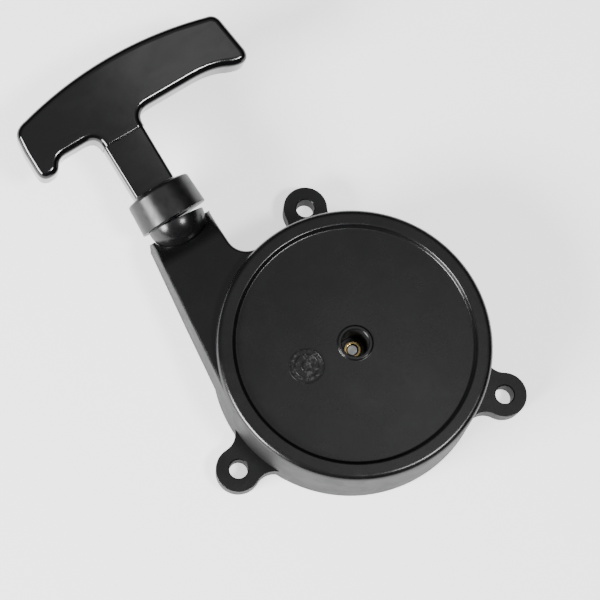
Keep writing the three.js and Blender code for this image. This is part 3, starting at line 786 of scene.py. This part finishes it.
def bush_seat(handle):
    """The tools for the ball's seat and for the bush's neck."""
    seat = handle.bush_radius / MM + 0.4
    centre = handle.bush_centre / MM
    profile = [
        *[(max(r, 0), v) for r, v in arc(0, centre, seat, -90, 0, 20)],
        (seat, 90),
        (0, 90),
    ]
    seat_tool = spun(profile, 96, along_y=True)
    neck = spun([(0, 53), (4.1, 53), (4.1, centre), (0, centre)], 40, along_y=True)
    return [moved(seat_tool, PULL_IN_CRANK), moved(neck, PULL_IN_CRANK)]


def case_boss(s, degrees):
    """A boss that takes one of the spring case's screws."""
    x, y = arc(0, 0, CASE_EAR_CIRCLE, degrees, degrees, 1)[0]
    post = drum(3.6, 18.2, s.plate_under / MM + 0.5, x, y)
    return cut(post, drum(1.65, 17, s.plate_under / MM - 1, x, y, 24))


def round_mark(s):
    """A small moulded dial: two raised rings with short ticks between them."""
    low, high = s.plate_top / MM - 0.4, s.plate_top / MM + 0.34
    marks = []
    for radius, wide in ((6.2, 0.5), (4.3, 0.35), (1.9, 0.5)):
        profile = [
            (radius - wide, low),
            (radius, low),
            (radius, high - 0.12),
            (radius - 0.12, high),
            (radius - wide + 0.12, high),
            (radius - wide, high - 0.12),
        ]
        marks.append(spun(profile, 72, closed=True))
    for degrees in range(0, 360, 30):
        tick = prism([(4.7, -0.14), (5.3, -0.14), (5.3, 0.14), (4.7, 0.14)], low, high - 0.08)
        marks.append(turned_about_z(tick, degrees))
    place = Matrix.Translation((*MARK_PLACE, 0))
    return [moved(mark, place) for mark in marks]


def well_tool(s):
    """The tool for the centre well with a small chamfer at its lip, and the insert's hole."""
    well, floor, top = s.well_radius / MM, s.well_floor / MM, s.plate_top / MM + 0.55
    profile = [
        (0, 0),
        (2.2, 0),
        (2.2, 8),
        (3.2, 8),
        (3.2, floor),
        (well - 0.3, floor),
        (well, floor + 0.3),
        (well, top - 0.35),
        (well + 0.35, top),
        (well + 0.35, top + 2),
        (0, top + 2),
    ]
    return spun(profile, 96)


def housing_shape(s, handle):
    lugs, holes = [], []
    for i in range(s.lug_count):
        degrees = math.degrees(s.lug_angle) + i * 360 / s.lug_count
        lugs.append(turned_about_z(lug_shape(s), degrees))
        holes.append(turned_about_z(lug_hole(s), degrees))
    shell = joined(cup_outside(s), arm_outside(s), *lugs)
    hollow = cut(
        shell,
        cup_inside(s),
        drum(s.post_radius / MM + 1, -1, s.post_bottom / MM),
        arm_inside(s),
        *bush_seat(handle),
        *holes,
    )
    filled = joined(
        hollow,
        *round_mark(s),
        *[case_boss(s, degrees) for degrees in CASE_EAR_DEGREES],
    )
    return cut(filled, well_tool(s))


class STARTER_OT_housing(bpy.types.Operator):
    """Make the housing: cup, raised ring, lugs, rope arm and centre post"""

    bl_idname = "starter.housing"
    bl_label = "Housing"

    def execute(self, context):
        s, handle = context.scene.starter_housing, context.scene.starter_handle
        shape = tidy_flats(housing_shape(s, handle), 0.3)

        def seat_rim(edge):
            a, b = (v.co for v in edge.verts)
            return min(a.y, b.y) > 58 and min(a.z, b.z) > 6

        round_edges(shape, 0.35, 3, 30, seat_rim)
        finished("housing_shell", shape, CRANK, "housing", "housing", ["housing"])
        return {"FINISHED"}


# ---- handle, bush and rope ----------------------------------------------------------


def bush_shape(s):
    """The ball-ended bush, its face cut square to the way the bush has swung."""
    radius, face = s.bush_radius / MM, s.bush_face / MM
    profile = [
        (3.0, 54.0),
        (3.7, 54.0),
        (4.7, 55.8),
        (4.7, 56.6),
        (3.8, 56.6),
        *arc(0, s.bush_centre / MM, radius, -68.8, 0, 22),
        (radius, face + 2),
        (6.4, face + 2),
        *arc(6.4, face - 2.4, 3.4, 108, 176, 8),
        (2.3, face - 4),
        (2.3, 55.0),
    ]
    blank = spun(profile, 112, closed=True, along_y=True)
    front = prism([(-20, 0), (20, 0), (20, 10), (-20, 10)], -20, 20)
    turned_about_z(front, math.degrees(s.bush_yaw))
    bush = cut(blank, moved(front, Matrix.Translation((0, face, 0))))
    return round_edges(bush, 0.25, 3, 40, lambda e: min(v.co.y for v in e.verts) > face - 2)


class STARTER_OT_bush(bpy.types.Operator):
    """Make the ball-ended guide bush that sits in the arm's cradle"""

    bl_idname = "starter.bush"
    bl_label = "Rope bush"

    def execute(self, context):
        shape = bush_shape(context.scene.starter_handle)
        finished("guide_bush", shape, PULL, "housing", "bush", ["rope_bush"], 40)
        return {"FINISHED"}


def collar_shape(s):
    """The collar, a little narrower at its shoulder."""
    low, high = s.collar_start / MM, s.collar_end / MM
    wide, front = s.collar_radius / MM, s.collar_front / MM
    bore = s.spigot_radius / MM + 0.25
    profile = [
        (bore, low + 0.5),
        (bore + 0.5, low + 0.05),
        (wide - 0.25, low + 0.05),
        *arc(wide - 0.25, low + 0.3, 0.25, -60, 0, 3),
        (front, high - 1.9),
        *curve_points((front, high - 1.9), (front, high - 0.9), (front - 1.0, high - 0.75), 6),
        (front - 3.8, high - 0.02),
        (bore + 0.6, high - 0.02),
        (bore, high - 0.4),
    ]
    return spun(profile, 128, closed=True, along_y=True)


class STARTER_OT_collar(bpy.types.Operator):
    """Make the rubber collar between the stem and the bush"""

    bl_idname = "starter.collar"
    bl_label = "Collar"

    def execute(self, context):
        shape = collar_shape(context.scene.starter_handle)
        finished("rubber_collar", shape, PULL, "handle", "rubber", ["handle_collar"], 40)
        return {"FINISHED"}


def grip_outline(s):
    """The T bar seen from above: a finger stop at each end, a crowned back, a neck.

    The neck runs on below its step, which is cut later.
    """
    neck, top = s.neck_start / MM - 6, s.grip_top / MM
    crown = arc(10.5, top - 145, 145, 75.63, 105.4, 24)
    return [
        (-34.0, 113.2),
        *curve_points((-34.0, 113.2), (-34.0, 109.2), (-30.4, 109.1), 8),
        *curve_points((-30.4, 109.1), (-27.4, 109.0), (-26.1, 111.0), 8),
        *curve_points((-26.1, 111.0), (-24.8, 113.4), (-22.2, 113.45), 8),
        (-13.8, 113.6),
        *curve_points((-13.8, 113.6), (-9.3, 113.6), (-9.2, 109.5), 8),
        (-9.2, neck),
        (7.3, neck),
        (7.3, 109.8),
        *curve_points((7.3, 109.8), (7.6, 114.2), (12.6, 114.25), 8),
        (30.5, 114.4),
        *curve_points((30.5, 114.4), (38.5, 114.5), (43.4, 112.3), 8),
        *curve_points((43.4, 112.3), (46.4, 110.8), (49.0, 110.5), 8),
        *curve_points((49.0, 110.5), (53.0, 110.3), (52.8, 114.6), 8),
        (50.9, 127.2),
        *curve_points((50.9, 127.2), (50.4, 131.0), crown[0], 8),
        *crown[1:],
        *curve_points(crown[-1], (-32.8, 130.0), (-33.5, 126.6), 8),
        (-34.0, 121.0),
    ]


def neck_step(s, half, under):
    """The tool that ends the neck in a step down to the stem, with rounded edges."""
    neck = s.neck_start / MM
    return side_prism(
        [
            (neck - 10, half + 1),
            (neck - 10, -half - 1),
            (neck + under, -half - 1),
            *arc(neck + under, under - half, under, 270, 180, 6),
            *arc(neck + 0.5, half - 0.5, 0.5, 180, 90, 4),
            (neck + 0.5, half + 1),
        ],
        -13,
        11.5,
    )


def grip_shape(s, rope):
    half, stem_half = s.grip_thick / MM / 2, s.stem_thick / MM / 2
    bar = prism(grip_outline(s), -half, half)
    over, under = s.top_round / MM, s.under_round / MM
    round_edges(bar, over, 8, 60, lambda e: min(v.co.z for v in e.verts) > 0, clamp=False)
    round_edges(bar, under, 5, 60, lambda e: max(v.co.z for v in e.verts) < 0, clamp=False)
    bar = cut(bar, neck_step(s, half, under))
    left, right, start = s.stem_left / MM, s.stem_right / MM, s.stem_start / MM
    stem = prism(
        [(-left, start), (right, start), (right + 0.1, 112.5), (-left - 0.2, 112.5)],
        -stem_half,
        stem_half,
    )
    round_edges(stem, s.stem_round / MM, 5, 60, lambda e: e.calc_length() > 20)
    spigot_r, spigot_v = s.spigot_radius / MM, s.collar_start / MM + 0.8
    spigot = spun(
        [
            (0, spigot_v),
            (spigot_r - 0.5, spigot_v),
            (spigot_r, spigot_v + 0.6),
            (spigot_r, start + 2),
            (0, start + 2),
        ],
        48,
        along_y=True,
    )
    bore_r, knot = rope.radius / MM + 0.35, rope.knot_place / MM
    bore = spun([(0, 70), (bore_r, 70), (bore_r, knot), (0, knot)], 32, along_y=True)
    room_v = knot - rope.knot_radius / MM - 0.25
    room = spun([(0, room_v), (4.5, room_v), (4.5, 140), (0, 140)], 48, along_y=True)
    return cut(joined(bar, stem, spigot), bore, room)


class STARTER_OT_grip(bpy.types.Operator):
    """Make the T grip with its stem and spigot, and the plug over the knot"""

    bl_idname = "starter.grip"
    bl_label = "Grip"

    def execute(self, context):
        s, rope = context.scene.starter_handle, context.scene.starter_rope
        shape = tidy_flats(grip_shape(s, rope), 0.3)
        finished("t_grip", shape, PULL, "handle", "grip", ["handle_grip"], 30)
        outer = s.grip_top / MM - 1.2
        plug = spun(
            [
                (0, outer - 3.4),
                (4.2, outer - 3.4),
                (4.2, outer - 0.4),
                *arc(3.8, outer - 0.4, 0.4, 0, 90, 4),
                (1.6, outer + 0.15),
                (1.3, outer - 0.5),
                (0, outer - 0.5),
            ],
            64,
            along_y=True,
        )
        finished("knot_plug", plug, PULL, "handle", "grip", ["handle_plug"], 30)
        return {"FINISHED"}


def rope_tube(path, radius, sides=20):
    """A tube round a path of (point, rope length so far), with braid UVs."""
    bm = bmesh.new()
    layer = bm.loops.layers.uv.new("braid")
    count = len(path)
    rings = []
    for i, (point, _) in enumerate(path):
        ahead = path[min(i + 1, count - 1)][0] - path[max(i - 1, 0)][0]
        turn = ahead.to_track_quat("Z", "Y").to_matrix().to_4x4()
        place = Matrix.Translation(point) @ turn
        ring = bmesh.ops.create_circle(bm, segments=sides, radius=radius, matrix=place)
        rings.append(ring["verts"])
    for i, (first, second) in enumerate(zip(rings, rings[1:])):
        for j in range(sides):
            k = (j + 1) % sides
            face = bm.faces.new((first[j], first[k], second[k], second[j]))
            corners = ((j, i), (j + 1, i), (j + 1, i + 1), (j, i + 1))
            for loop, (u, v) in zip(face.loops, corners):
                loop[layer].uv = (u / sides, path[v][1] / (2 * radius))
    for ring in (rings[0], rings[-1]):
        cap = bm.faces.new(ring[::-1])
        for loop in cap.loops:
            loop[layer].uv = (0.5, 0)
    bmesh.ops.recalc_face_normals(bm, faces=bm.faces)
    return bm


def smooth_step(t):
    """0 to 1 with level ends."""
    t = min(max(t, 0.0), 1.0)
    return t * t * (3 - 2 * t)


def with_lengths(points):
    """A path's points with the length walked so far."""
    walked, path = 0.0, []
    for i, point in enumerate(points):
        if i:
            walked += (point - points[i - 1]).length
        path.append((point, walked))
    return path


STRETCH_START = 60.0
STRETCH_END = 84.0
COIL_RADII = (17.1, 20.55, 24.0)
COIL_TURNS = 2
COIL_STEPS = 64
COIL_LEAN = 1.55


class STARTER_OT_rope(bpy.types.Operator):
    """Make the rope: its coil on the pulley, its run to the handle and its knots"""

    bl_idname = "starter.rope"
    bl_label = "Rope"

    def execute(self, context):
        s = context.scene.starter_rope
        radius = s.radius / MM
        self.coil(s, radius)
        self.lead(s, radius)
        self.knots(s, radius)
        return {"FINISHED"}

    def coil(self, s, radius):
        """Three layers of two turns, each layer outside the last."""
        points = []
        for layer, r in enumerate(COIL_RADII):
            for step in range(COIL_TURNS * COIL_STEPS):
                turn = step / COIL_STEPS
                across = (turn - 1) if layer % 2 == 0 else (1 - turn)
                x, y = arc(0, 0, r, 180 - 360 * turn, 0, 1)[0]
                points.append(Vector((x, y, s.height / MM + across * COIL_LEAN)))
        bm = rope_tube(with_lengths(points), radius - 0.15, 10)
        finished("rope_winding", bm, CRANK, "pulley", "rope", ["rope_coil"], 60)

    def lead(self, s, radius):
        """The last turn, the run through the arm and the bush, and on into the grip."""
        wound = s.wound_radius / MM
        height = s.height / MM
        bend = [Vector((x, y, height)) for x, y in arc(0, 0, wound, 280, 180, 40)]
        knot = s.knot_place / MM - s.knot_radius / MM + 1
        stretch = [STRETCH_START + (STRETCH_END - STRETCH_START) * i / 60 for i in range(61)]
        places = (56, 58, *stretch, 94, 104, 114, knot)
        on_axis = [PULL_IN_CRANK @ Vector((0, v, 0)) for v in places]
        leaving = [bend[-1].lerp(on_axis[0], i / 24) for i in range(1, 24)]
        path = with_lengths(bend + leaving + on_axis)
        zone = STRETCH_END - STRETCH_START
        path = [
            (p, walked + PULL_TRAVEL / MM * smooth_step((self.along(p) - STRETCH_START) / zone))
            for p, walked in path
        ]
        bm = rope_tube(path, radius)
        nodes = ["rope_run", "rope_lead"]
        piece = finished("pull_rope", bm, CRANK, "housing", "rope", nodes, 60, weighted=False)
        piece.parent = None
        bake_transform(piece)

    def along(self, point):
        return (PULL_IN_CRANK.inverted() @ point).y

    def knots(self, s, radius):
        handle = knot_shape(s.knot_radius / MM, radius)
        moved(handle, Matrix.Translation((0, s.knot_place / MM, 0)))
        finished("grip_knot", handle, PULL, "rope_end", "rope", ["handle_knot"], 60)
        low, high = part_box("pulley_knot")
        centre = CRANK.inverted() @ ((low + high) / 2)
        pulley = knot_shape(2.6, 1.1)
        moved(pulley, Matrix.Translation(centre))
        finished("pulley_end_knot", pulley, CRANK, "pulley", "rope", ["pulley_knot"], 60)


def knot_shape(size, strand):
    """An overhand knot as a trefoil tube, drawn tight into a ball of that size."""
    points = []
    for i in range(97):
        t = 2 * math.pi * i / 96
        x = math.sin(t) + 2 * math.sin(2 * t)
        y = -math.sin(3 * t)
        z = math.cos(t) - 2 * math.cos(2 * t)
        points.append(Vector((x, 1.1 * y, z)) * ((size - 0.62 * strand) / 3.0))
    return rope_tube(with_lengths(points), 0.6 * strand, 10)


# ---- inner pieces -------------------------------------------------------------------


def refine(node, body, slot, width):
    """Makes a piece of a node's solid, with its flats merged and its edges rounded."""
    bm = bmesh.new()
    bm.from_mesh(frame["nodes"][node].data)
    moved(bm, CRANK.inverted())
    bmesh.ops.remove_doubles(bm, verts=bm.verts, dist=1e-3)
    tidy_flats(bm, 0.8)
    round_edges(bm, width, 2, 35)
    finished(f"{node}_piece", bm, CRANK, body, slot, [node])


class STARTER_OT_pulley(bpy.types.Operator):
    """Make the rope pulley with its hub, ribs and pawl pins"""

    bl_idname = "starter.pulley"
    bl_label = "Rope pulley"

    def execute(self, context):
        refine("rope_pulley", "pulley", "pulley", 0.25)
        for i in (1, 2):
            refine(f"pawl_clip_{i}", "pulley", "spring_steel", 0.08)
        return {"FINISHED"}


class STARTER_OT_pawls(bpy.types.Operator):
    """Make the pawls and the friction plate that swings them"""

    bl_idname = "starter.pawls"
    bl_label = "Pawls"

    def execute(self, context):
        for i in (1, 2):
            refine(f"pawl_{i}", f"pawl_{i}", "steel", 0.2)
        refine("friction_plate", "friction_plate", "steel", 0.12)
        return {"FINISHED"}


SPRING_TURNS = 7
SPRING_STEPS = 48 * SPRING_TURNS
SPRING_HUB = 12.2
SPRING_OUTSIDE = 31.9
SPRING_LOW = 17.3
SPRING_WIDE = 6.4
SPRING_THICK = 0.5


def spring_shape():
    """The rewind spring: a thin strip wound in even turns between hub and case."""
    points = []
    for i in range(SPRING_STEPS + 1):
        radius = SPRING_HUB + (SPRING_OUTSIDE - SPRING_HUB) * (i / SPRING_STEPS) ** 0.8
        a = 2 * math.pi * SPRING_TURNS * i / SPRING_STEPS
        points.append((radius * math.cos(a), radius * math.sin(a)))
    bm = bmesh.new()
    verts = [bm.verts.new((x, y, SPRING_LOW)) for x, y in points]
    edges = [bm.edges.new(pair) for pair in zip(verts, verts[1:])]
    raised = bmesh.ops.extrude_edge_only(bm, edges=edges)["geom"]
    top = [g for g in raised if isinstance(g, bmesh.types.BMVert)]
    bmesh.ops.translate(bm, verts=top, vec=(0, 0, SPRING_WIDE))
    bmesh.ops.recalc_face_normals(bm, faces=bm.faces)
    bmesh.ops.solidify(bm, geom=bm.faces[:], thickness=SPRING_THICK)
    bmesh.ops.recalc_face_normals(bm, faces=bm.faces)
    return bm


class STARTER_OT_spring(bpy.types.Operator):
    """Make the rewind spring, its case, the lid and the case's screws"""

    bl_idname = "starter.spring"
    bl_label = "Rewind spring"

    def execute(self, context):
        refine("spring_case", "housing", "spring_case", 0.25)
        refine("spring_case_lid", "housing", "steel", 0.08)
        shape = spring_shape()
        finished("spiral_spring", shape, CRANK, "housing", "spring_steel", ["rewind_spring"], 40)
        for i in (1, 2):
            refine(f"case_screw_{i}", "housing", "steel", 0.1)
        return {"FINISHED"}


class STARTER_OT_centre(bpy.types.Operator):
    """Make the centre post's brass insert, its screw and the retainer washer"""

    bl_idname = "starter.centre"
    bl_label = "Centre screw"

    def execute(self, context):
        refine("post_insert", "housing", "brass", 0.2)
        refine("post_screw", "housing", "steel", 0.15)
        refine("retainer_washer", "housing", "steel", 0.12)
        return {"FINISHED"}


# ---- stage --------------------------------------------------------------------------

CAMERA_TARGET = Vector((-2.67, 28.07, 0))
CAMERA_DISTANCE = 596.75
CAMERA_TILT = 14.677
CAMERA_AZIMUTH = -136.1
CAMERA_ROLL = 32.75
CAMERA_LENS = 98.2

FLOOR_GLOW = 1.3
# Two heights of a direction, from 0 at the horizon to 1 overhead, and the strength at each.
SKY = (0.6, 0.96, 0.012, 0.5)
# The strength of what stands past the floor's edge, which lights nothing.
BACKDROP = 1.1
# Name, azimuth and angle from the zenith in degrees, size in metres, power in watts.
SOFTBOXES = (
    ("side_softbox", 180, 63, (0.6, 0.35), 42),
    ("front_softbox", -64, 30, (0.24, 0.2), 12),
    ("top_panel", 6, 12, (0.2, 0.15), 0.13),
)


def area_light(name, place, aim, size, power):
    light = bpy.data.lights.new(name, "AREA")
    light.shape = "RECTANGLE"
    light.size, light.size_y = size
    light.energy = power
    lamp = bpy.data.objects.new(name, light)
    lamp.location = place
    lamp.rotation_mode = "QUATERNION"
    lamp.rotation_quaternion = (Vector(aim) - Vector(place)).to_track_quat("-Z", "Y")
    bpy.context.scene.collection.objects.link(lamp)


class STARTER_OT_stage(bpy.types.Operator):
    """Make the pale floor, the studio light and the camera"""

    bl_idname = "starter.stage"
    bl_label = "Stage"

    def execute(self, context):
        self.camera(context.scene)
        self.floor(context.scene)
        self.lights(context.scene)
        return {"FINISHED"}

    def camera(self, scene):
        data = bpy.data.cameras.new("camera")
        data.lens = CAMERA_LENS
        data.clip_start, data.clip_end = 0.01, 20
        camera = bpy.data.objects.new("camera", data)
        tilt, azimuth = math.radians(CAMERA_TILT), math.radians(CAMERA_AZIMUTH)
        back = Vector(
            (
                math.sin(tilt) * math.cos(azimuth),
                math.sin(tilt) * math.sin(azimuth),
                math.cos(tilt),
            )
        )
        roll = math.radians(CAMERA_ROLL)
        upward = Vector((math.sin(roll), math.cos(roll), 0))
        right = (-back).cross(upward).normalized()
        up = right.cross(-back)
        turn = Matrix((right, up, back)).transposed().to_4x4()
        place = CRANK @ (CAMERA_TARGET + back * CAMERA_DISTANCE)
        camera.matrix_world = Matrix.Translation(place) @ turn
        scene.collection.objects.link(camera)
        scene.camera = camera

    def floor(self, scene):
        bm = bmesh.new()
        bmesh.ops.create_circle(bm, cap_ends=True, segments=96, radius=3.0)
        floor = scratch("floor", bm)
        floor.data.materials.append(
            pale_floor("pale_floor", tuple(scene.starter_colours.floor))
        )

    def lights(self, scene):
        """A dim sky, brighter overhead, and three softboxes for the edges' highlights."""
        world = bpy.data.worlds.new("studio")
        world.use_nodes = True
        tree = world.node_tree
        direction = tree.nodes.new("ShaderNodeTexCoord")
        split = tree.nodes.new("ShaderNodeSeparateXYZ")
        sky = tree.nodes.new("ShaderNodeMapRange")
        for socket, value in zip(("From Min", "From Max", "To Min", "To Max"), SKY):
            sky.inputs[socket].default_value = value
        tree.links.new(direction.outputs["Generated"], split.inputs["Vector"])
        tree.links.new(split.outputs["Z"], sky.inputs["Value"])
        background = tree.nodes["Background"]
        background.inputs["Color"].default_value = (1, 1, 1, 1)
        seen = tree.nodes.new("ShaderNodeLightPath")
        strength = tree.nodes.new("ShaderNodeMix")
        strength.inputs["B"].default_value = BACKDROP
        tree.links.new(seen.outputs["Is Camera Ray"], strength.inputs["Factor"])
        tree.links.new(sky.outputs["Result"], strength.inputs["A"])
        tree.links.new(strength.outputs["Result"], background.inputs["Strength"])
        scene.world = world
        for name, azimuth, zenith, size, power in SOFTBOXES:
            a, z = math.radians(azimuth), math.radians(zenith)
            way = Vector((math.sin(z) * math.cos(a), math.sin(z) * math.sin(a), math.cos(z)))
            area_light(name, way * 1.2, (0, 0, 0.015), size, power)


# ---- panel and registration ---------------------------------------------------------

STEPS = (
    STARTER_OT_stage,
    STARTER_OT_housing,
    STARTER_OT_bush,
    STARTER_OT_collar,
    STARTER_OT_grip,
    STARTER_OT_rope,
    STARTER_OT_pulley,
    STARTER_OT_pawls,
    STARTER_OT_spring,
    STARTER_OT_centre,
)


class STARTER_PT_panel(bpy.types.Panel):
    """The starter's sizes, colours and steps"""

    bl_label = "Recoil starter"
    bl_idname = "STARTER_PT_panel"
    bl_space_type = "VIEW_3D"
    bl_region_type = "UI"
    bl_category = "Starter"

    def draw(self, context):
        for group in GROUPS:
            box = self.layout.box()
            for name in GROUPS[group].__annotations__:
                box.prop(getattr(context.scene, group), name)
        for step in STEPS:
            self.layout.operator(step.bl_idname)


GROUPS = {
    "starter_housing": HousingSizes,
    "starter_handle": HandleSizes,
    "starter_rope": RopeSizes,
    "starter_colours": FinishColours,
}


def register():
    for cls in (*GROUPS.values(), *STEPS, STARTER_PT_panel):
        bpy.utils.register_class(cls)
    for name, group in GROUPS.items():
        setattr(bpy.types.Scene, name, PointerProperty(type=group))


def unregister():
    for name in GROUPS:
        delattr(bpy.types.Scene, name)
    for cls in reversed((*GROUPS.values(), *STEPS, STARTER_PT_panel)):
        bpy.utils.unregister_class(cls)


def main():
    register()
    scene = bpy.context.scene
    make_materials(scene.starter_colours, scene.starter_rope.strands)
    for step in STEPS:
        group, name = step.bl_idname.split(".")
        getattr(getattr(bpy.ops, group), name)()


if __name__ == "__main__":
    main()
